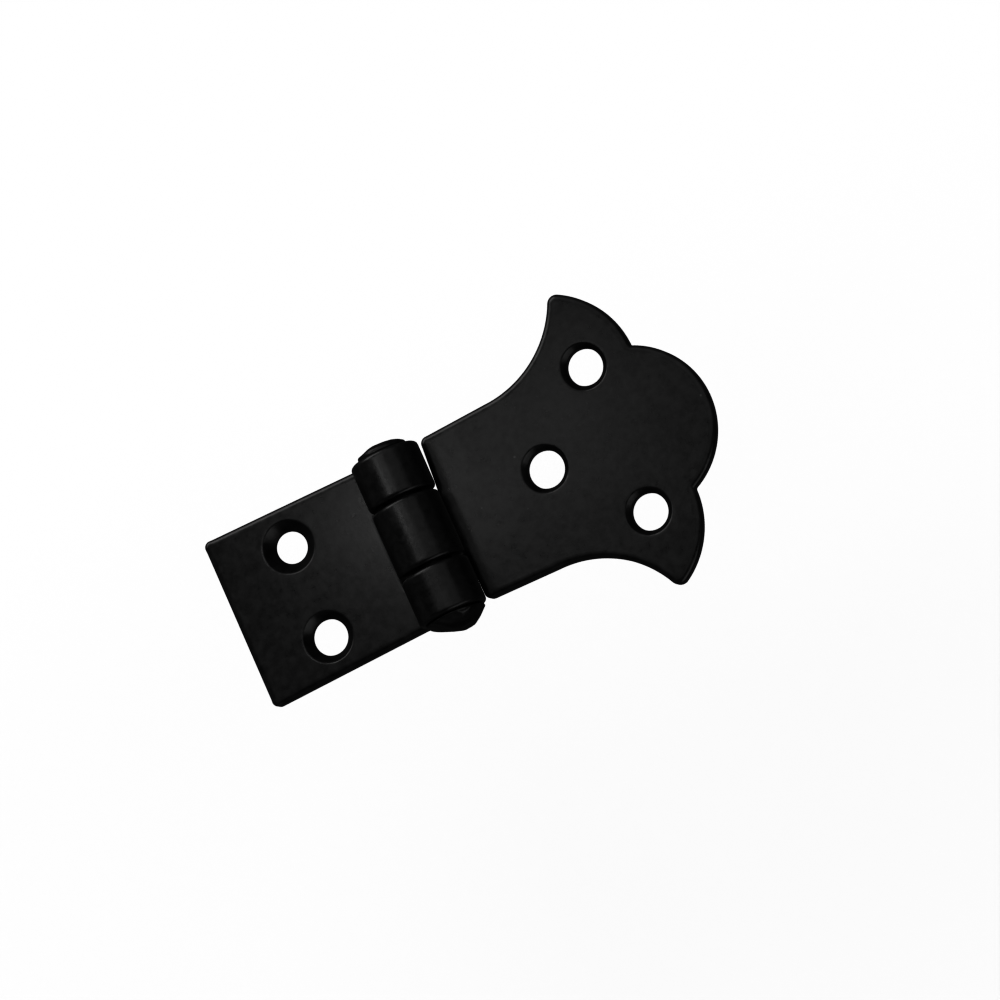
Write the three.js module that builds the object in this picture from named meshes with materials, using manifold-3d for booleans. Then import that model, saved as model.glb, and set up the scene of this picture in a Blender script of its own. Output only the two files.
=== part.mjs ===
// A small T hinge of powder-coated sheet steel, lying open and flat.
//
// It is three pieces. A short rectangular leaf and a longer tail leaf are each cut from one sheet and
// rolled round a pin: the short leaf has the two outer knuckles and the tail leaf has the middle one.
// The pin is a rivet with a formed head at one end and a peened head at the other.
//
// Frame, in millimetres: the origin lies on the back plane, under the middle of the pin. +X runs along
// the tail leaf, +Y along the pin to its peened head, and +Z out of the front face, where the barrel is.

import * as THREE from 'three';
import { mergeVertices } from 'three/addons/utils/BufferGeometryUtils.js';
import Module from 'manifold-3d';

const wasm = await Module();
wasm.setup();

// Sheet, barrel and pin
const SHEET = 1.7;
const BARREL_R = 4.25;
const BORE_R = BARREL_R - SHEET;
const PIN_R = BORE_R - 0.07;
const BARREL_LENGTH = 21.0;
const BARREL_MIDDLE_Y = -0.3;
const MIDDLE_KNUCKLE = 8.3;
const KNUCKLE_GAP = 0.4;
const FACETS_PER_TURN = 72;
const ROLL_FACETS = 60;

// Short leaf
const SHORT_END_X = -25.4;
const SHORT_END_HALF = 10.9;
const SHORT_NEAR_HALF = 10.5;
const SHORT_CORNER_R = 0.7;
const SHORT_NOTCH_X = -(BARREL_R + 0.3);

// Tail leaf: a neck that flares into two tips, a rounded shoulder behind each, and a round lobe
const TAIL_NOTCH_X = 3.7;
const TAIL_NEAR_HALF = 10.5;
const NECK_HALF = 10.8;
const FLARE_START_X = 13.0;
const FLARE_R = 13.3;
const SHOULDER_CENTRE = new THREE.Vector2(21.0, 9.3);
const SHOULDER_R = 10.95;
const LOBE_R = 10.2;
const TAIL_END_X = 38.1;
const TIP_R = 1.1;
const CUSP_R = 0.4;

// Screw holes: centre, hole radius and the countersink's radius at the front face
const COUNTERSINK_ANGLE = THREE.MathUtils.degToRad(41);
const SHORT_HOLES = [
  { x: -15.8, y: 5.9, radius: 1.95, rim: 3.25 },
  { x: -15.8, y: -6.0, radius: 2.2, rim: 3.15 },
];
const TAIL_HOLES = [
  { x: 16.6, y: 0.55, radius: 2.3, rim: 2.9 },
  { x: 25.9, y: 9.5, radius: 2.25, rim: 2.85 },
  { x: 25.9, y: -9.5, radius: 2.25, rim: 2.85 },
];
const HOLE_SEGMENTS = 48;

// Pin heads
const HEAD_GAP = 0.1;
const PEENED_R = 3.05;
const PEENED_HEIGHT = 1.2;
const PEENED_POINT = 0.8;
const FORMED_R = 3.7;
const FORMED_HEIGHT = 2.3;
const FORMED_POINT = 1.6;
const FORMED_LEAN = 0.4;
const HEAD_RIM = 0.4;
const PIN_SEGMENTS = 48;

const ARC_SEGMENTS = 9;

function toSolid(geometry) {
  const bare = geometry.clone();
  bare.deleteAttribute('normal');
  bare.deleteAttribute('uv');
  const merged = mergeVertices(bare, 1e-4);
  const mesh = new wasm.Mesh({
    numProp: 3,
    vertProperties: new Float32Array(merged.attributes.position.array),
    triVerts: new Uint32Array(merged.index.array),
  });
  return new wasm.Manifold(mesh);
}

function toGeometry(solid) {
  const mesh = solid.getMesh();
  const geometry = new THREE.BufferGeometry();
  geometry.setAttribute('position', new THREE.BufferAttribute(mesh.vertProperties, 3));
  geometry.setIndex(new THREE.BufferAttribute(mesh.triVerts, 1));
  geometry.computeVertexNormals();
  return geometry;
}

function coatedSteel(colour, roughness) {
  return new THREE.MeshStandardMaterial({ color: colour, roughness: roughness, metalness: 0.3 });
}

// The crossing of two circles that lies farther from the hinge's centre line
function meetingPoint(centreA, radiusA, centreB, radiusB) {
  const apart = centreB.clone().sub(centreA);
  const distance = apart.length();
  const along = (distance ** 2 + radiusA ** 2 - radiusB ** 2) / (2 * distance);
  const across = Math.sqrt(radiusA ** 2 - along ** 2);
  const unit = apart.divideScalar(distance);
  const foot = centreA.clone().addScaledVector(unit, along);
  const square = new THREE.Vector2(-unit.y, unit.x);
  const one = foot.clone().addScaledVector(square, across);
  const other = foot.clone().addScaledVector(square, -across);
  return one.y > other.y ? one : other;
}

function direction(from, to) {
  return Math.atan2(to.y - from.y, to.x - from.x);
}

// One side of the tail leaf's outline past the neck, from the neck to the lobe, as arcs
function tailArcs() {
  const flare = new THREE.Vector2(FLARE_START_X, NECK_HALF + FLARE_R);
  const lobe = new THREE.Vector2(TAIL_END_X - LOBE_R, 0);
  const tip = meetingPoint(flare, FLARE_R + TIP_R, SHOULDER_CENTRE, SHOULDER_R - TIP_R);
  const cusp = meetingPoint(SHOULDER_CENTRE, SHOULDER_R + CUSP_R, lobe, LOBE_R + CUSP_R);
  const toFlare = direction(tip, flare);
  const toShoulder = direction(SHOULDER_CENTRE, tip);
  const toCusp = direction(SHOULDER_CENTRE, cusp);
  const toLobe = direction(lobe, cusp);
  return [
    { centre: flare, radius: FLARE_R, from: -Math.PI / 2, to: direction(flare, tip), clockwise: false },
    { centre: tip, radius: TIP_R, from: toFlare, to: toShoulder, clockwise: true },
    { centre: SHOULDER_CENTRE, radius: SHOULDER_R, from: toShoulder, to: toCusp, clockwise: true },
    { centre: cusp, radius: CUSP_R, from: toCusp + Math.PI, to: toLobe + Math.PI, clockwise: false },
    { centre: lobe, radius: LOBE_R, from: toLobe, to: 0, clockwise: true },
  ];
}

function tailOutline() {
  const arcs = tailArcs();
  const outline = new THREE.Shape();
  outline.moveTo(TAIL_NOTCH_X, TAIL_NEAR_HALF);
  outline.lineTo(FLARE_START_X, NECK_HALF);
  for (const arc of arcs) {
    outline.absarc(arc.centre.x, arc.centre.y, arc.radius, arc.from, arc.to, arc.clockwise);
  }
  for (const arc of arcs.reverse()) {
    outline.absarc(arc.centre.x, -arc.centre.y, arc.radius, -arc.to, -arc.from, arc.clockwise);
  }
  outline.lineTo(TAIL_NOTCH_X, -TAIL_NEAR_HALF);
  return outline;
}

function shortOutline() {
  const cornerX = SHORT_END_X + SHORT_CORNER_R;
  const cornerY = SHORT_END_HALF - SHORT_CORNER_R;
  const outline = new THREE.Shape();
  outline.moveTo(SHORT_NOTCH_X, -SHORT_NEAR_HALF);
  outline.lineTo(SHORT_NOTCH_X, SHORT_NEAR_HALF);
  outline.absarc(cornerX, cornerY, SHORT_CORNER_R, Math.PI / 2, Math.PI, false);
  outline.absarc(cornerX, -cornerY, SHORT_CORNER_R, Math.PI, Math.PI * 1.5, false);
  return outline;
}

function plate(outline) {
  return toSolid(new THREE.ExtrudeGeometry(outline, {
    depth: SHEET,
    bevelEnabled: false,
    curveSegments: ARC_SEGMENTS,
  }));
}

// A countersunk hole's tool: a straight hole that opens into a cone at the front face
function countersink(hole) {
  const past = 0.5;
  const slope = Math.tan(COUNTERSINK_ANGLE);
  const coneBottom = SHEET - (hole.rim - hole.radius) / slope;
  const tool = new THREE.LatheGeometry([
    new THREE.Vector2(0, -past),
    new THREE.Vector2(hole.radius, -past),
    new THREE.Vector2(hole.radius, coneBottom),
    new THREE.Vector2(hole.rim + past * slope, SHEET + past),
    new THREE.Vector2(0, SHEET + past),
  ], HOLE_SEGMENTS);
  tool.rotateX(Math.PI / 2);
  tool.translate(hole.x, hole.y, 0);
  return toSolid(tool);
}

// A rolled knuckle between two places along the pin. Its strap runs out towards +X at the back plane
// for the given length, and the roll goes from there past -X and over the top, nearly to the strap.
function knuckle(fromY, toY, strapLength) {
  const step = (2 * Math.PI) / FACETS_PER_TURN;
  const outer = [];
  const inner = [];
  for (let i = 0; i <= ROLL_FACETS; i += 1) {
    const angle = -Math.PI / 2 - step * (i + 0.5);
    const ray = new THREE.Vector2(Math.cos(angle), Math.sin(angle)).divideScalar(Math.cos(step / 2));
    const centre = new THREE.Vector2(0, BARREL_R);
    outer.push(centre.clone().addScaledVector(ray, BARREL_R));
    inner.push(centre.clone().addScaledVector(ray, BORE_R));
  }
  const strapBack = new THREE.Vector2(strapLength, 0);
  const strapFront = new THREE.Vector2(strapLength, SHEET);
  const profile = new THREE.Shape([strapBack, ...outer, ...inner.reverse(), strapFront]);
  const roll = new THREE.ExtrudeGeometry(profile, { depth: toY - fromY, bevelEnabled: false });
  roll.rotateX(Math.PI / 2);
  roll.translate(0, toY, 0);
  return roll;
}

function tailLeaf() {
  const overlap = 1.5;
  let solid = plate(tailOutline());
  const start = BARREL_MIDDLE_Y - MIDDLE_KNUCKLE / 2;
  solid = solid.add(toSolid(knuckle(start, start + MIDDLE_KNUCKLE, TAIL_NOTCH_X + overlap)));
  for (const hole of TAIL_HOLES) {
    solid = solid.subtract(countersink(hole));
  }
  return toGeometry(solid);
}

function shortLeaf() {
  const overlap = 1.5;
  const innerY = MIDDLE_KNUCKLE / 2 + KNUCKLE_GAP;
  let solid = plate(shortOutline());
  const length = BARREL_LENGTH / 2 - innerY;
  for (const start of [-BARREL_LENGTH / 2, innerY]) {
    const roll = knuckle(start, start + length, overlap - SHORT_NOTCH_X);
    roll.rotateZ(Math.PI);
    roll.translate(0, BARREL_MIDDLE_Y, 0);
    solid = solid.add(toSolid(roll));
  }
  for (const hole of SHORT_HOLES) {
    solid = solid.subtract(countersink(hole));
  }
  return toGeometry(solid);
}

// A head's profile, from its rim out to the tip on the axis. The point is 1 for a round dome, less for a
// flatter one and more for a cone.
function headProfile(radius, height, point) {
  const steps = 8;
  const points = [];
  for (let i = 0; i <= steps; i += 1) {
    const angle = (Math.PI / 2) * (i / steps);
    const reach = HEAD_RIM + (height - HEAD_RIM) * Math.sin(angle) ** point;
    points.push(new THREE.Vector2(i === steps ? 0 : radius * Math.cos(angle) ** point, reach));
  }
  return points;
}

// Leans the end of a pin below a given place over towards +X, as the hammer left its formed head
function leaned(pin, belowY, lean) {
  const place = pin.attributes.position;
  for (let i = 0; i < place.count; i += 1) {
    const past = Math.max(0, belowY - place.getY(i));
    place.setX(i, place.getX(i) + lean * past);
  }
  return pin;
}

function hingePin() {
  const shoulder = BARREL_LENGTH / 2 + HEAD_GAP;
  const formed = headProfile(FORMED_R, FORMED_HEIGHT, FORMED_POINT).reverse();
  const peened = headProfile(PEENED_R, PEENED_HEIGHT, PEENED_POINT);
  const pin = new THREE.LatheGeometry([
    ...formed.map((point) => new THREE.Vector2(point.x, -shoulder - point.y)),
    new THREE.Vector2(FORMED_R, -shoulder),
    new THREE.Vector2(PIN_R, -shoulder),
    new THREE.Vector2(PIN_R, shoulder),
    new THREE.Vector2(PEENED_R, shoulder),
    ...peened.map((point) => new THREE.Vector2(point.x, shoulder + point.y)),
  ], PIN_SEGMENTS);
  return leaned(pin, -shoulder, FORMED_LEAN);
}

function named(name, geometry, material) {
  const mesh = new THREE.Mesh(geometry, material);
  mesh.name = name;
  return mesh;
}

const hinge = new THREE.Group();
hinge.add(named('short_leaf', shortLeaf(), coatedSteel(0x1f1f20, 0.5)));
hinge.add(named('tail_leaf', tailLeaf(), coatedSteel(0x1f1f20, 0.5)));

const pin = named('hinge_pin', hingePin(), coatedSteel(0x161617, 0.42));
pin.position.set(0, BARREL_MIDDLE_Y, BARREL_R);
hinge.add(pin);

export default hinge;
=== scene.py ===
"""A small black T hinge, open and flat above a plain white floor.

Each leaf is made the way the real one is: a flat blank with a rounded rim and countersunk holes is laid
out first, and its tabs are then rolled round the pin. The pin is a turned rivet with hammered heads.
The flat work is in millimetres, and a finished mesh is in metres, in the frame's own axes.
"""
import math

import bpy
import numpy as np
from mathutils import Matrix, Vector, noise
from mathutils.geometry import delaunay_2d_cdt


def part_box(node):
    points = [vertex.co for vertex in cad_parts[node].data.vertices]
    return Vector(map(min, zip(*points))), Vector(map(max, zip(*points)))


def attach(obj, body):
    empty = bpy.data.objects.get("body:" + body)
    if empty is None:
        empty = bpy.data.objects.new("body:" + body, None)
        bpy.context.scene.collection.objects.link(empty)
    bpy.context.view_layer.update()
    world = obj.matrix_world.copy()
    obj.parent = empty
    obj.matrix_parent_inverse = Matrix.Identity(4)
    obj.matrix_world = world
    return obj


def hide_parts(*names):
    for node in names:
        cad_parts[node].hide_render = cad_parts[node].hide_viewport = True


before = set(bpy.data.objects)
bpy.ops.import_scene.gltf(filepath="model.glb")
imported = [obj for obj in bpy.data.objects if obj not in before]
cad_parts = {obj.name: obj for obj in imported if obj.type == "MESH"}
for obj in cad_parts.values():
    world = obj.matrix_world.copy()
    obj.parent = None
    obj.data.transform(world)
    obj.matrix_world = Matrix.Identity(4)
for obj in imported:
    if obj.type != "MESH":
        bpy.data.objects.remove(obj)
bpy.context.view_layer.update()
MM = 0.001

# Places that the frame gives, in millimetres
short_low, short_high = [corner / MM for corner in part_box("short_leaf")]
tail_high = [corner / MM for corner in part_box("tail_leaf")][1]
pin_low, pin_high = [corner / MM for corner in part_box("hinge_pin")]
BARREL_R = short_high.z / 2
SHORT_LENGTH = -short_low.x
SHORT_END_HALF = short_high.y
TAIL_END_X = tail_high.x

# Sheet, barrel and pin
SHEET = 1.7
BARREL_HALF = 10.5
BARREL_MIDDLE_Y = -0.3
MIDDLE_HALF = 4.15
KNUCKLE_GAP = 0.4
SHORT_NOTCH = BARREL_R + 0.3
TAIL_NOTCH = 3.6
TAIL_NEAR = 3.72
TAIL_NEAR_OPEN = 4.08
NEAR_HALF = 10.5
PIN_CLEARANCE = 0.07
PIN_R = BARREL_R - SHEET - PIN_CLEARANCE
ROLL_TURN = math.radians(302.5)
ROLL_LENGTH = BARREL_R * ROLL_TURN
ROLL_ROWS = 100
ROW = ROLL_LENGTH / ROLL_ROWS

# The tail's outline: a flare into each tip, a shoulder behind it, and one lobe
NECK_HALF = 10.8
FLARE_START_X = 13.0
FLARE_R = 13.3
SHOULDER_CENTRE = Vector((21.0, 9.3))
SHOULDER_R = 10.95
LOBE_R = 10.2
TIP_R = 1.1
CUSP_R = 0.4

# Screw holes, as centre, hole radius and countersink radius, in each leaf's own blank
SHORT_HOLES = [((15.8, -5.9), 1.95, 3.25), ((15.8, 6.0), 2.2, 3.15)]
TAIL_HOLES = [((16.6, 0.55), 2.3, 2.9), ((25.9, 9.5), 2.25, 2.85), ((25.9, -9.5), 2.25, 2.85)]
COUNTERSINK_ANGLE = math.radians(41)
HOLE_POINTS = 84

# The rim that blanking leaves: rolled over at the front, nearly square at the back
FRONT_RIM = 0.75
FRONT_DROP = 0.5
BACK_RIM = 0.16
KNUCKLE_RIM = 0.48
SUPPORT = 0.12

# How closely curves are stepped
ARC_SPACING = 0.32
ARC_STEP = math.radians(9)
FRONT_RIM_STEPS = np.radians([0, 15, 30, 45, 60, 75, 90])
BACK_RIM_STEPS = np.radians([0, 22.5, 45, 67.5, 90])


# ---------------------------------------------------------------- outlines

def direction(start, end):
    """The angle of the line from one point to another."""
    return math.atan2(end.y - start.y, end.x - start.x)


def arc(centre, radius, start, end):
    """Points along an arc, close enough together for its size and its turn."""
    turn = end - start
    count = max(3, math.ceil(abs(turn) * radius / ARC_SPACING), math.ceil(abs(turn) / ARC_STEP))
    angles = [start + turn * i / count for i in range(count + 1)]
    return [centre + radius * Vector((math.cos(a), math.sin(a))) for a in angles]


def circles_meet(centre_a, radius_a, centre_b, radius_b):
    """The crossing of two circles that lies farther from the centre line."""
    apart = centre_b - centre_a
    along = (apart.length_squared + radius_a**2 - radius_b**2) / (2 * apart.length)
    across = math.sqrt(radius_a**2 - along**2)
    unit = apart.normalized()
    foot = centre_a + unit * along
    square = Vector((-unit.y, unit.x))
    return max(foot + square * across, foot - square * across, key=lambda point: point.y)


def rounded(corners):
    """A line through corners given as (x, y, radius), with each corner turned at its radius."""
    points = []
    for i, (x, y, radius) in enumerate(corners):
        corner = Vector((x, y))
        if radius == 0:
            points.append(corner)
            continue
        back = (Vector(corners[i - 1][:2]) - corner).normalized()
        ahead = (Vector(corners[i + 1][:2]) - corner).normalized()
        half = back.angle(ahead) / 2
        centre = corner + (back + ahead).normalized() * radius / math.sin(half)
        start = direction(centre, corner + back * radius / math.tan(half))
        end = direction(centre, corner + ahead * radius / math.tan(half))
        turn = (end - start + math.pi) % (2 * math.pi) - math.pi
        points += arc(centre, radius, start, start + turn)
    return points


def tail_side(barrel_middle):
    """The tail blank's outline on one side, from the middle of the tab's end to the lobe.

    The notch opens a little wider on the +Y side, which is the side with the shorter half of the tab.
    """
    tab = MIDDLE_HALF + barrel_middle
    near = TAIL_NEAR_OPEN if barrel_middle == BARREL_MIDDLE_Y else TAIL_NEAR
    edge = rounded([
        (-ROLL_LENGTH, 0, 0),
        (-ROLL_LENGTH, tab, 0.3),
        (TAIL_NOTCH, tab, 0.3),
        (near, NEAR_HALF, 0.9),
        (FLARE_START_X, NECK_HALF, 0),
    ])
    flare = Vector((FLARE_START_X, NECK_HALF + FLARE_R))
    lobe = Vector((TAIL_END_X - LOBE_R, 0))
    tip = circles_meet(flare, FLARE_R + TIP_R, SHOULDER_CENTRE, SHOULDER_R - TIP_R)
    cusp = circles_meet(SHOULDER_CENTRE, SHOULDER_R + CUSP_R, lobe, LOBE_R + CUSP_R)
    to_shoulder = direction(SHOULDER_CENTRE, tip)
    to_cusp = direction(SHOULDER_CENTRE, cusp)
    to_lobe = direction(lobe, cusp)
    edge += arc(flare, FLARE_R, -math.pi / 2, direction(flare, tip))[1:]
    edge += arc(tip, TIP_R, direction(tip, flare), to_shoulder)[1:]
    edge += arc(SHOULDER_CENTRE, SHOULDER_R, to_shoulder, to_cusp)[1:]
    edge += arc(cusp, CUSP_R, to_cusp + math.pi, to_lobe + math.pi)[1:]
    edge += arc(lobe, LOBE_R, to_lobe, 0)[1:]
    return edge


def short_side(barrel_middle):
    """The short blank's outline on one side, from the notch to the free end, with X away from the pin."""
    inner = MIDDLE_HALF + KNUCKLE_GAP + barrel_middle
    outer = BARREL_HALF + barrel_middle
    return rounded([
        (SHORT_NOTCH, 0, 0),
        (SHORT_NOTCH, inner, 0.3),
        (-ROLL_LENGTH, inner, 0.3),
        (-ROLL_LENGTH, outer, 0.3),
        (1.5, outer, 3),
        (SHORT_NOTCH, NEAR_HALF, 5),
        (SHORT_LENGTH, SHORT_END_HALF, 0.8),
        (SHORT_LENGTH, 0, 0),
    ])


def filled_in(points):
    """More points along the straight stretches: one on each row of a tab, and a few on the leaf."""
    result = []
    for here, after in zip(points, points[1:] + points[:1]):
        result.append(here)
        low, high = sorted((here.x, after.x))
        between = []
        if low < -ROW and high - low > 1.5 * ROW:
            rows = [-ROW * i for i in range(ROLL_ROWS) if low + 0.3 * ROW < -ROW * i < high - 0.3 * ROW]
            between = [(x - here.x) / (after.x - here.x) for x in rows]
            if high > 1:
                between += [(x - here.x) / (after.x - here.x) for x in np.arange(0.4, high - 0.2, 0.4)]
        else:
            count = int((after - here).length / 0.45)
            between = [i / (count + 1) for i in range(1, count + 1)]
        result += [here.lerp(after, share) for share in sorted(between)]
    return result


def whole_outline(side, barrel_middle):
    """The closed outline, anticlockwise, from its two sides."""
    near, far = side(barrel_middle), side(-barrel_middle)
    mirrored = [Vector((point.x, -point.y)) for point in reversed(far[1:-1])]
    loop = np.array([tuple(point) for point in filled_in(near + mirrored)])
    following = np.roll(loop, -1, axis=0)
    area = np.sum(loop[:, 0] * following[:, 1] - following[:, 0] * loop[:, 1])
    return loop if area > 0 else loop[::-1]


def outward(loop):
    """The outward direction at each point of an anticlockwise loop."""
    tangent = np.roll(loop, -1, axis=0) - np.roll(loop, 1, axis=0)
    normal = np.column_stack([tangent[:, 1], -tangent[:, 0]])
    return normal / np.linalg.norm(normal, axis=1)[:, None]


def rim_room(loop):
    """How far the rim may reach in at each point without folding over itself near a tight corner."""
    ahead = np.roll(loop, -1, axis=0) - loop
    behind = loop - np.roll(loop, 1, axis=0)
    turn = ahead[:, 1] * behind[:, 0] - ahead[:, 0] * behind[:, 1]
    step = np.linalg.norm(ahead, axis=1) + np.linalg.norm(behind, axis=1)
    sine = turn / (np.linalg.norm(ahead, axis=1) * np.linalg.norm(behind, axis=1))
    radius = np.where(sine > 1e-3, step / 2 / np.maximum(sine, 1e-3), 1e3)
    room = 0.8 * radius[None, :] + 0.5 * np.linalg.norm(loop[:, None] - loop[None, :], axis=2)
    return room.min(axis=1)


# ---------------------------------------------------------------- blanks

def rim_profile(room, on_tab):
    """The rim's section from the front face to the back, as (inset, height, rim) for each step."""
    share = np.minimum(1, room / (FRONT_RIM + SUPPORT)) * (1 - 0.7 * on_tab)
    front, drop = FRONT_RIM * share, FRONT_DROP * share
    back = on_tab * KNUCKLE_RIM + (1 - on_tab) * BACK_RIM
    share = np.minimum(1, room / (back + SUPPORT))
    back_in, last = back * share, (back + SUPPORT) * share
    zero = np.zeros_like(share)
    steps = [(front + SUPPORT * np.minimum(1, room), SHEET + zero, 0)]
    for angle in FRONT_RIM_STEPS:
        inset = front * (1 - np.sin(angle))
        steps.append((inset, SHEET - drop * (1 - np.cos(angle)), float(np.sin(2 * angle))))
    steps.append((zero, (SHEET - drop + back) / 2, 0))
    for angle in BACK_RIM_STEPS:
        rim = 0.6 * float(np.sin(2 * angle))
        steps.append((back_in * (1 - np.cos(angle)), back * (1 - np.sin(angle)), rim))
    steps.append((last, zero, 0))
    return steps


def hole_profile(radius, countersink):
    """A countersunk hole's section from the front face to the back, as (radius, height)."""
    bottom = SHEET - (countersink - radius) / math.tan(COUNTERSINK_ANGLE)
    line = rounded([
        (countersink + 0.45, SHEET, 0),
        (countersink, SHEET, 0.35),
        (radius, bottom, 0.25),
        (radius, 0, 0.1),
        (radius + 0.25, 0, 0),
    ])
    return [(point.x, point.y) for point in line]


def inside(points, loop):
    """Which points lie inside a closed loop."""
    x, y = points[:, 0][:, None], points[:, 1][:, None]
    x0, y0 = loop[:, 0][None], loop[:, 1][None]
    x1, y1 = np.roll(loop[:, 0], -1)[None], np.roll(loop[:, 1], -1)[None]
    crosses = (y0 > y) != (y1 > y)
    rise = np.where(y1 == y0, 1, y1 - y0)
    return (crosses & (x < (x1 - x0) * (y - y0) / rise + x0)).sum(axis=1) % 2 == 1


def inner_points(loop, holes):
    """Points inside a face: staggered rows over the leaf, and straight rows over the tabs."""
    points = []
    spacing = 0.85
    top = np.abs(loop[:, 1]).max()
    for i, y in enumerate(np.arange(-top, top, spacing * 0.87)):
        for x in np.arange(0.5 + spacing * (i % 2) / 2, loop[:, 0].max(), spacing):
            points.append((x, y))
    for row in range(ROLL_ROWS + 1):
        for y in np.arange(-BARREL_HALF, BARREL_HALF, 0.5):
            points.append((-ROW * row, y + 0.013))
    points = np.array(points)
    points = points[inside(points, loop)]
    margin = np.where(points[:, 0] > 0, 0.4, 0.16)
    away = np.linalg.norm(points[:, None] - loop[None], axis=2).min(axis=1) > margin
    for (x, y), reach in holes:
        away &= np.hypot(points[:, 0] - x, points[:, 1] - y) > reach + 0.3
    return points[away]


def ring(centre, radius):
    """Points round a hole, anticlockwise."""
    angles = np.arange(HOLE_POINTS) * 2 * math.pi / HOLE_POINTS
    return np.column_stack([centre[0] + radius * np.cos(angles), centre[1] + radius * np.sin(angles)])


class Blank:
    """Vertices and faces of a flat blank, gathered loop by loop."""

    def __init__(self):
        self.points = []
        self.rims = []
        self.faces = []

    def add(self, flat, heights, rims):
        """Adds vertices, and returns their numbers."""
        first = len(self.points)
        heights = np.broadcast_to(heights, len(flat))
        rims = np.broadcast_to(rims, len(flat))
        self.points += [(x, y, z) for (x, y), z in zip(flat, heights)]
        self.rims += list(rims)
        return list(range(first, len(self.points)))

    def band(self, upper, lower):
        """Joins two loops of the same length, the upper one anticlockwise round the material."""
        count = len(upper)
        for i in range(count):
            j = (i + 1) % count
            self.faces.append((upper[i], lower[i], lower[j], upper[j]))

    def cap(self, outer, holes, height, faces_up):
        """Fills the face between the outline and the holes, with points of its own inside."""
        loops = [outer] + [numbers for numbers, _, _ in holes]
        numbers = [n for loop in loops for n in loop]
        edges = []
        for loop in loops:
            start = len(edges)
            edges += [(start + i, start + (i + 1) % len(loop)) for i in range(len(loop))]
        flat = np.array([self.points[n][:2] for n in numbers])
        reach = [(centre, radius) for _, centre, radius in holes]
        fill = inner_points(flat[:len(outer)], reach)
        numbers += self.add(fill, height, 0.0)
        every = [Vector(p) for p in flat] + [Vector(p) for p in fill]
        _, _, triangles, origin, _, _ = delaunay_2d_cdt(every, edges, [], 1, 1e-7)
        for triangle in triangles:
            corners = [numbers[origin[i][0]] for i in triangle]
            middle = np.mean([self.points[n][:2] for n in corners], axis=0)
            if any(math.dist(middle, centre) < radius for centre, radius in reach):
                continue
            self.faces.append(tuple(corners) if faces_up else tuple(reversed(corners)))


def leaf_blank(side, barrel_middle, holes):
    """A whole flat leaf: its rim, its holes, and its front and back faces."""
    blank = Blank()
    loop = whole_outline(side, barrel_middle)
    normal = outward(loop)
    room = rim_room(loop)
    on_tab = np.clip(1 - (loop[:, 0] - 0.5) / 3.5, 0, 1)
    loops = []
    for inset, height, rim in rim_profile(room, on_tab):
        loops.append(blank.add(loop - normal * np.asarray(inset)[:, None], height, rim))
    for upper, lower in zip(loops, loops[1:]):
        blank.band(upper, lower)
    front_holes, back_holes = [], []
    for centre, radius, countersink in holes:
        profile = hole_profile(radius, countersink)
        rings = []
        for i, (reach, height) in enumerate(profile):
            edge = 0.8 if 1 <= i <= 5 else 0.0
            rings.append(blank.add(ring(centre, reach), height, edge))
        for upper, lower in zip(rings, rings[1:]):
            blank.band(list(reversed(upper)), list(reversed(lower)))
        front_holes.append((rings[0], centre, profile[0][0]))
        back_holes.append((rings[-1], centre, profile[-1][0]))
    blank.cap(loops[0], front_holes, SHEET, faces_up=True)
    blank.cap(loops[-1], back_holes, 0.0, faces_up=False)
    return blank


def rolled(points):
    """Bends a blank's tabs round the pin: what lies past X = 0 wraps round the barrel."""
    x, y, z = points.T
    angle = -math.pi / 2 + np.minimum(x, 0) / BARREL_R
    radius = BARREL_R - z
    wrapped = x < 0
    bent_x = np.where(wrapped, radius * np.cos(angle), x)
    bent_z = np.where(wrapped, BARREL_R + radius * np.sin(angle), z)
    return np.column_stack([bent_x, y, bent_z])


def uneven(points, seed):
    """Slight hollows in the faces, as pressed and coated sheet has. The back of the leaf stays flat."""
    result = points.copy()
    for i, (x, y, z) in enumerate(points):
        place = Vector((x / 5, y / 5, seed + (5 if z > SHEET / 2 else 0)))
        depth = noise.noise(place) * 0.014 + noise.noise(place * 3.1) * 0.005
        amount = 1 if z > SHEET / 2 else min(1, max(0, -x / 2))
        inward = -1 if z > SHEET / 2 else 1
        result[i, 2] = z + inward * amount * abs(depth)
    return result


def make_object(name, points, faces, rims):
    """A Blender object from points in millimetres. The rims say where the coat wears, from 0 to 1."""
    mesh = bpy.data.meshes.new(name)
    mesh.from_pydata([Vector(point) * MM for point in points], [], faces)
    mesh.validate()
    attribute = mesh.attributes.new("rim", "FLOAT", "POINT")
    attribute.data.foreach_set("value", np.asarray(rims, np.float32))
    mesh.shade_smooth()
    obj = bpy.data.objects.new(name, mesh)
    bpy.context.scene.collection.objects.link(obj)
    return obj


def leaf(name, side, holes, turned, seed):
    """A finished leaf. The short one is laid out like the tail and then turned half round."""
    middle = -BARREL_MIDDLE_Y if turned else BARREL_MIDDLE_Y
    blank = leaf_blank(side, middle, holes)
    points = rolled(uneven(np.array(blank.points), seed))
    if turned:
        points[:, :2] *= -1
    return make_object(name, points, blank.faces, blank.rims)


# ---------------------------------------------------------------- pin

PIN_SIDES = 96
HEAD_GAP = 0.1
FORMED_R = 3.7
FORMED_HEIGHT = BARREL_MIDDLE_Y - pin_low.y - BARREL_HALF - HEAD_GAP
FORMED_POINT = 1.6
FORMED_LEAN = 0.4
PEENED_R = 3.05
PEENED_HEIGHT = pin_high.y - BARREL_MIDDLE_Y - BARREL_HALF - HEAD_GAP
PEENED_POINT = 0.8
BLOW_FLATNESS = 0.92


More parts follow.
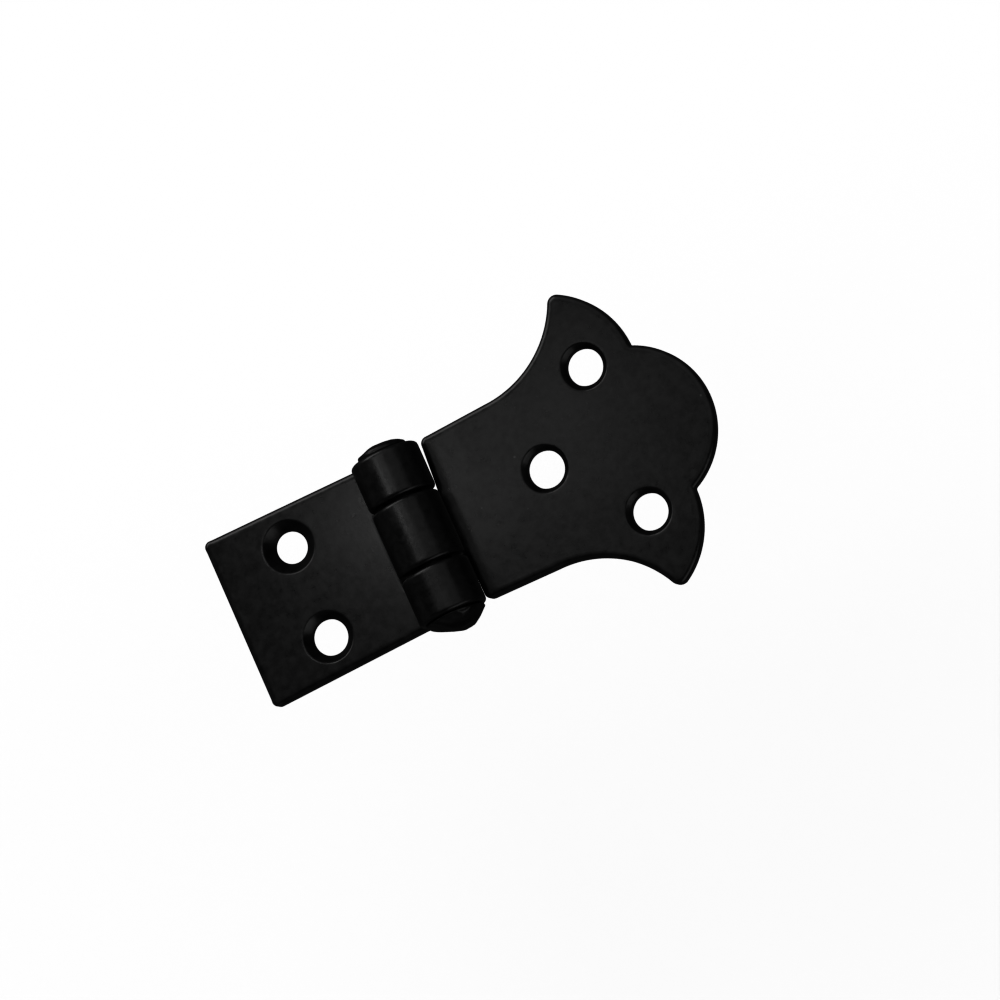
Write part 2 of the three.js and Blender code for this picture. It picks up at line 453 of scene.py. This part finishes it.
def head_section(radius, height, point):
    """Half of a head's section from its underside to its tip, as (radius, reach)."""
    line = [(radius - 0.25, 0.0), (radius - 0.07, 0.04), (radius, 0.18)]
    rim = 0.35
    for i in range(22):
        angle = math.pi / 2 * i / 22
        line.append((radius * math.cos(angle) ** point, rim + (height - rim) * math.sin(angle) ** point))
    return line


def pin_section():
    """Half of the pin's section from one tip to the other, as (radius, y)."""
    under = BARREL_HALF + HEAD_GAP
    formed = [(r, -under - reach) for r, reach in head_section(FORMED_R, FORMED_HEIGHT, FORMED_POINT)]
    peened = [(r, under + reach) for r, reach in head_section(PEENED_R, PEENED_HEIGHT, PEENED_POINT)]
    shaft = [(PIN_R, y) for y in np.linspace(-under, under, 30)]
    return formed[::-1] + shaft + peened


def struck(points, low, high, blows, seed):
    """Flattens a head where each blow landed. A blow is (angle off the axis, angle round it, depth)."""
    part = (points[:, 1] > low) & (points[:, 1] < high)
    towards = 1 if low > 0 else -1
    for tilt, turn, depth in blows:
        tilt, turn = math.radians(tilt), math.radians(turn)
        off_axis = math.sin(tilt)
        normal = np.array([off_axis * math.cos(turn), towards * math.cos(tilt), off_axis * math.sin(turn)])
        height = points[part] @ normal
        over = np.clip(height - (height.max() - depth), 0, None)
        points[part] -= BLOW_FLATNESS * over[:, None] * normal
    for i in np.flatnonzero(part):
        place = Vector(points[i]) * 0.9 + Vector((0, 0, seed))
        points[i] *= 1 - 0.006 * (1 + noise.noise(place))
    return points


FORMED_BLOWS = [
    (8, 40, 0.3), (36, 20, 0.2), (44, 88, 0.24), (38, 150, 0.26), (46, 205, 0.2),
    (42, 268, 0.24), (39, 325, 0.2), (66, 60, 0.12), (68, 180, 0.12), (64, 300, 0.14),
]
PEENED_BLOWS = [
    (6, 200, 0.08), (24, 10, 0.1), (28, 80, 0.12), (22, 140, 0.09), (26, 215, 0.1), (25, 290, 0.12),
]


def make_pin():
    """The rivet pin: turned from its section, then struck at both ends."""
    section = pin_section()
    points, faces, rims = [], [], []
    for radius, y in section:
        for i in range(PIN_SIDES):
            angle = 2 * math.pi * i / PIN_SIDES
            points.append((radius * math.cos(angle), y, radius * math.sin(angle)))
            rims.append(0.5 if radius > PIN_R + 0.1 else 0.0)
    for row in range(len(section) - 1):
        for i in range(PIN_SIDES):
            j = (i + 1) % PIN_SIDES
            here, there = row * PIN_SIDES, (row + 1) * PIN_SIDES
            faces.append((here + i, here + j, there + j, there + i)[::-1])
    last = (len(section) - 1) * PIN_SIDES
    under = BARREL_HALF + HEAD_GAP
    tips = ((-under - FORMED_HEIGHT, 0, True), (under + PEENED_HEIGHT, last, False))
    for centre_y, ring_start, outward_first in tips:
        tip = len(points)
        points.append((0, centre_y, 0))
        rims.append(0.5)
        for i in range(PIN_SIDES):
            j = (i + 1) % PIN_SIDES
            corners = (tip, ring_start + i, ring_start + j)
            faces.append(corners if outward_first else corners[::-1])
    points = np.array(points, float)
    points = struck(points, -math.inf, -under - 0.3, FORMED_BLOWS, 3.0)
    points = struck(points, under + 0.3, math.inf, PEENED_BLOWS, 8.0)
    points[:, 0] += FORMED_LEAN * np.clip(-under - points[:, 1], 0, None)
    points += np.array((0, BARREL_MIDDLE_Y, BARREL_R))
    return make_object("rivet_pin", points, faces, rims)


# ---------------------------------------------------------------- materials

WORN_COLOUR = (0.03, 0.03, 0.031, 1)
DUST_COLOUR = (0.16, 0.16, 0.16, 1)


class Nodes:
    """Short ways to add and link shader nodes."""

    def __init__(self, material):
        material.use_nodes = True
        self.tree = material.node_tree
        self.shader = self.tree.nodes["Principled BSDF"]

    def add(self, kind, inputs=None, **settings):
        node = self.tree.nodes.new(kind)
        for key, value in settings.items():
            setattr(node, key, value)
        for key, value in (inputs or {}).items():
            self.put(node.inputs[key], value)
        return node

    def put(self, socket, value):
        if isinstance(value, bpy.types.NodeSocket):
            self.tree.links.new(value, socket)
        else:
            socket.default_value = value

    def noise(self, place, scale, detail=3.0, roughness=0.55):
        inputs = {"Vector": place, "Scale": scale, "Detail": detail, "Roughness": roughness}
        return self.add("ShaderNodeTexNoise", inputs).outputs["Fac"]

    def spread(self, value, low, high, to_low=0.0, to_high=1.0):
        inputs = {"Value": value, "From Min": low, "From Max": high, "To Min": to_low, "To Max": to_high}
        return self.add("ShaderNodeMapRange", inputs).outputs["Result"]

    def math(self, operation, a, b):
        return self.add("ShaderNodeMath", {0: a, 1: b}, operation=operation).outputs[0]

    def mix(self, share, a, b):
        node = self.add("ShaderNodeMix", data_type="RGBA")
        self.put(node.inputs[0], share)
        self.put(node.inputs[6], a)
        self.put(node.inputs[7], b)
        return node.outputs[2]


def powder_coat(name, dark, light, rough_low, rough_high, sheen):
    """Satin black powder coat: fine pebbling, cloudy tone, worn rims and a few specks of dust.

    A noise scale counts features in a metre, so 1000 gives mottling about a millimetre across.
    """
    material = bpy.data.materials.new(name)
    n = Nodes(material)
    place = n.add("ShaderNodeTexCoord").outputs["Object"]
    rim = n.add("ShaderNodeAttribute", attribute_name="rim").outputs["Fac"]
    mottle = n.noise(place, 1000.0, 3.0, 0.6)
    grain = n.noise(place, 1900.0, 2.0, 0.5)
    pebble = n.noise(place, 3300.0, 2.0, 0.45)
    tone = n.mix(n.spread(mottle, 0.35, 0.68), dark, light)
    worn = n.math("MULTIPLY", rim, n.spread(n.noise(place, 900.0), 0.42, 0.66))
    tone = n.mix(n.math("MULTIPLY", worn, 0.35), tone, WORN_COLOUR)
    cells = n.add("ShaderNodeTexVoronoi", {"Vector": place, "Scale": 520.0})
    dot = n.spread(cells.outputs["Distance"], 0.05, 0.09, 1.0, 0.0)
    rare = n.spread(n.noise(place, 230.0, 1.0), 0.66, 0.70)
    tone = n.mix(n.math("MULTIPLY", n.math("MULTIPLY", dot, rare), 0.7), tone, DUST_COLOUR)
    broad = n.noise(place, 150.0, 2.0)
    patches = n.math("ADD", n.math("MULTIPLY", mottle, 0.7), n.math("MULTIPLY", broad, 0.3))
    patchy = n.spread(patches, 0.38, 0.62, 0.84 * sheen, 1.16 * sheen)
    uneven_cure = n.math("ADD", n.math("MULTIPLY", grain, 0.4), n.math("MULTIPLY", mottle, 0.6))
    rough = n.spread(uneven_cure, 0.36, 0.64, rough_low, rough_high)
    height = n.math("ADD", n.math("MULTIPLY", pebble, 0.55), n.math("MULTIPLY", mottle, 0.4))
    bump = n.add("ShaderNodeBump", {"Height": height, "Strength": 0.22, "Distance": 0.00006})
    n.put(n.shader.inputs["Base Color"], tone)
    n.put(n.shader.inputs["Roughness"], rough)
    n.put(n.shader.inputs["Normal"], bump.outputs["Normal"])
    n.put(n.shader.inputs["Specular IOR Level"], patchy)
    return material


# ---------------------------------------------------------------- stage

FLOOR_HEIGHT = -0.15
FLOOR_HALF = 4.0

# The dim room that the coat reflects, as (height from 0 below to 1 above, level)
ROOM_GLOW = [(0.3, 0.012), (0.5, 0.025), (0.56, 0.04), (0.7, 0.03), (0.82, 0.01), (1.0, 0.008)]


def studio_floor():
    """A plain white floor that shows only the hinge's soft shadow, low enough for a leaf to hang down."""
    mesh = bpy.data.meshes.new("floor")
    signs = ((-1, -1), (1, -1), (1, 1), (-1, 1))
    corners = [(x * FLOOR_HALF, y * FLOOR_HALF, FLOOR_HEIGHT) for x, y in signs]
    mesh.from_pydata(corners, [], [(0, 1, 2, 3)])
    floor = bpy.data.objects.new("floor", mesh)
    bpy.context.scene.collection.objects.link(floor)
    material = bpy.data.materials.new("floor_white")
    Nodes(material).shader.inputs["Base Color"].default_value = (0.9, 0.9, 0.9, 1)
    mesh.materials.append(material)
    floor.is_shadow_catcher = True
    floor.visible_glossy = False


def studio_world():
    """The camera sees plain white behind the hinge. The hinge sees a dim room, lighter round the walls."""
    world = bpy.data.worlds.new("studio")
    bpy.context.scene.world = world
    world.use_nodes = True
    tree = world.node_tree
    room = tree.nodes["Background"]
    direction_seen = tree.nodes.new("ShaderNodeTexCoord").outputs["Generated"]
    axes = tree.nodes.new("ShaderNodeSeparateXYZ")
    ramp = tree.nodes.new("ShaderNodeValToRGB")
    upward = tree.nodes.new("ShaderNodeMapRange")
    upward.inputs["From Min"].default_value = -1
    tree.links.new(direction_seen, axes.inputs[0])
    tree.links.new(axes.outputs["Z"], upward.inputs["Value"])
    tree.links.new(upward.outputs["Result"], ramp.inputs["Fac"])
    tree.links.new(ramp.outputs["Color"], room.inputs["Color"])
    stops = ramp.color_ramp.elements
    stops[0].position = ROOM_GLOW[0][0]
    stops[1].position = ROOM_GLOW[-1][0]
    for position, _ in ROOM_GLOW[1:-1]:
        stops.new(position)
    for stop, (_, level) in zip(stops, ROOM_GLOW):
        stop.color = (level, level, level, 1)
    white = tree.nodes.new("ShaderNodeBackground")
    white.inputs["Color"].default_value = (1, 1, 1, 1)
    seen = tree.nodes.new("ShaderNodeLightPath")
    mix = tree.nodes.new("ShaderNodeMixShader")
    tree.links.new(seen.outputs["Is Camera Ray"], mix.inputs["Fac"])
    tree.links.new(room.outputs[0], mix.inputs[1])
    tree.links.new(white.outputs[0], mix.inputs[2])
    tree.links.new(mix.outputs[0], tree.nodes["World Output"].inputs["Surface"])


def softbox(name, place, aim, size, power):
    """A soft rectangular light facing a point, in metres and watts, that the camera doesn't see."""
    light = bpy.data.lights.new(name, "AREA")
    light.shape = "RECTANGLE"
    light.size, light.size_y = size
    light.energy = power
    obj = bpy.data.objects.new(name, light)
    bpy.context.scene.collection.objects.link(obj)
    obj.location = place
    obj.rotation_mode = "QUATERNION"
    obj.rotation_quaternion = (Vector(aim) - Vector(place)).to_track_quat("-Z", "Y")
    obj.visible_camera = False


CAMERA_ROLL = 24.08
CAMERA_ACROSS = 10.5
CAMERA_ALONG = 12.5
CAMERA_DISTANCE = 0.77
CAMERA_SCALE = 8.438
CAMERA_AIM = Vector((9.76, -0.09, 0.0)) * MM


def studio_camera():
    """Looks down at the hinge, leaning towards +X and -Y, with the barrel turned off upright."""
    roll, across, along = [math.radians(a) for a in (CAMERA_ROLL, CAMERA_ACROSS, CAMERA_ALONG)]
    turn = Matrix.Rotation(-along, 3, "Y")
    turn = Matrix.Rotation(across, 3, "X").inverted() @ turn
    turn = Matrix.Rotation(roll, 3, "Z") @ turn
    data = bpy.data.cameras.new("camera")
    data.sensor_width = 36
    data.lens = 36 * CAMERA_SCALE * CAMERA_DISTANCE / MM / 1000
    data.clip_start, data.clip_end = 0.01, 10
    camera = bpy.data.objects.new("camera", data)
    bpy.context.scene.collection.objects.link(camera)
    back = Matrix.Translation((0, 0, CAMERA_DISTANCE))
    camera.matrix_world = Matrix.Translation(CAMERA_AIM) @ turn.inverted().to_4x4() @ back
    bpy.context.scene.camera = camera


# ---------------------------------------------------------------- scene

LEAF_DARK = (0.003, 0.003, 0.0031, 1)
LEAF_LIGHT = (0.0065, 0.0065, 0.0067, 1)
# Painted shade: the pin's two tones are set darker than the leaf coat's, so that the pin's heads look
# shaded.
PIN_DARK_PAINTED_SHADE = (0.0025, 0.0025, 0.0026, 1)
PIN_LIGHT_PAINTED_SHADE = (0.005, 0.005, 0.0052, 1)
leaf_coat = powder_coat("leaf_coat", LEAF_DARK, LEAF_LIGHT, rough_low=0.27, rough_high=0.35, sheen=0.5)
# The pin's coat is the leaf coat with painted shade, in the darker tones above.
pin_coat = powder_coat("pin_coat", PIN_DARK_PAINTED_SHADE, PIN_LIGHT_PAINTED_SHADE, rough_low=0.28, rough_high=0.36, sheen=0.42)

short = leaf("short_leaf_sheet", short_side, SHORT_HOLES, turned=True, seed=0.0)
tail = leaf("tail_leaf_sheet", tail_side, TAIL_HOLES, turned=False, seed=20.0)
pin = make_pin()
for piece, body, node, slot, coat in (
    (short, "fixed_leaf", "short_leaf", "leaf_coating", leaf_coat),
    (tail, "swing_leaf", "tail_leaf", "leaf_coating", leaf_coat),
    (pin, "fixed_leaf", "hinge_pin", "pin_coating", pin_coat),
):
    piece.data.materials.append(coat)
    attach(piece, body)
    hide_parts(node)

studio_floor()
studio_world()
softbox("overhead_left", (-0.145, 0.3, 0.55), (-0.145, 0.3, 0), (0.29, 0.9), 0.06)
softbox("overhead_right", (0.34, 0.3, 0.55), (0.34, 0.3, 0), (0.68, 0.9), 0.36)
softbox("barrel_lamp", (-0.0155, 0.0154, 0.06), (-0.002, 0.004, 0), (0.01, 0.01), 0.0008)
softbox("tail_lamp", (0.0017, 0.0231, 0.09), (0.022, 0.006, 0), (0.02, 0.02), 0.0009)
softbox("side_strip", (-0.24, 0.5, 0.36), (0, 0, 0.004), (0.55, 0.2), 0.75)
softbox("low_fill", (0.25, -0.5, 0.2), (0, 0, 0.004), (0.5, 0.3), 0.2)
studio_camera()
bpy.context.scene.view_settings.view_transform = "Standard"
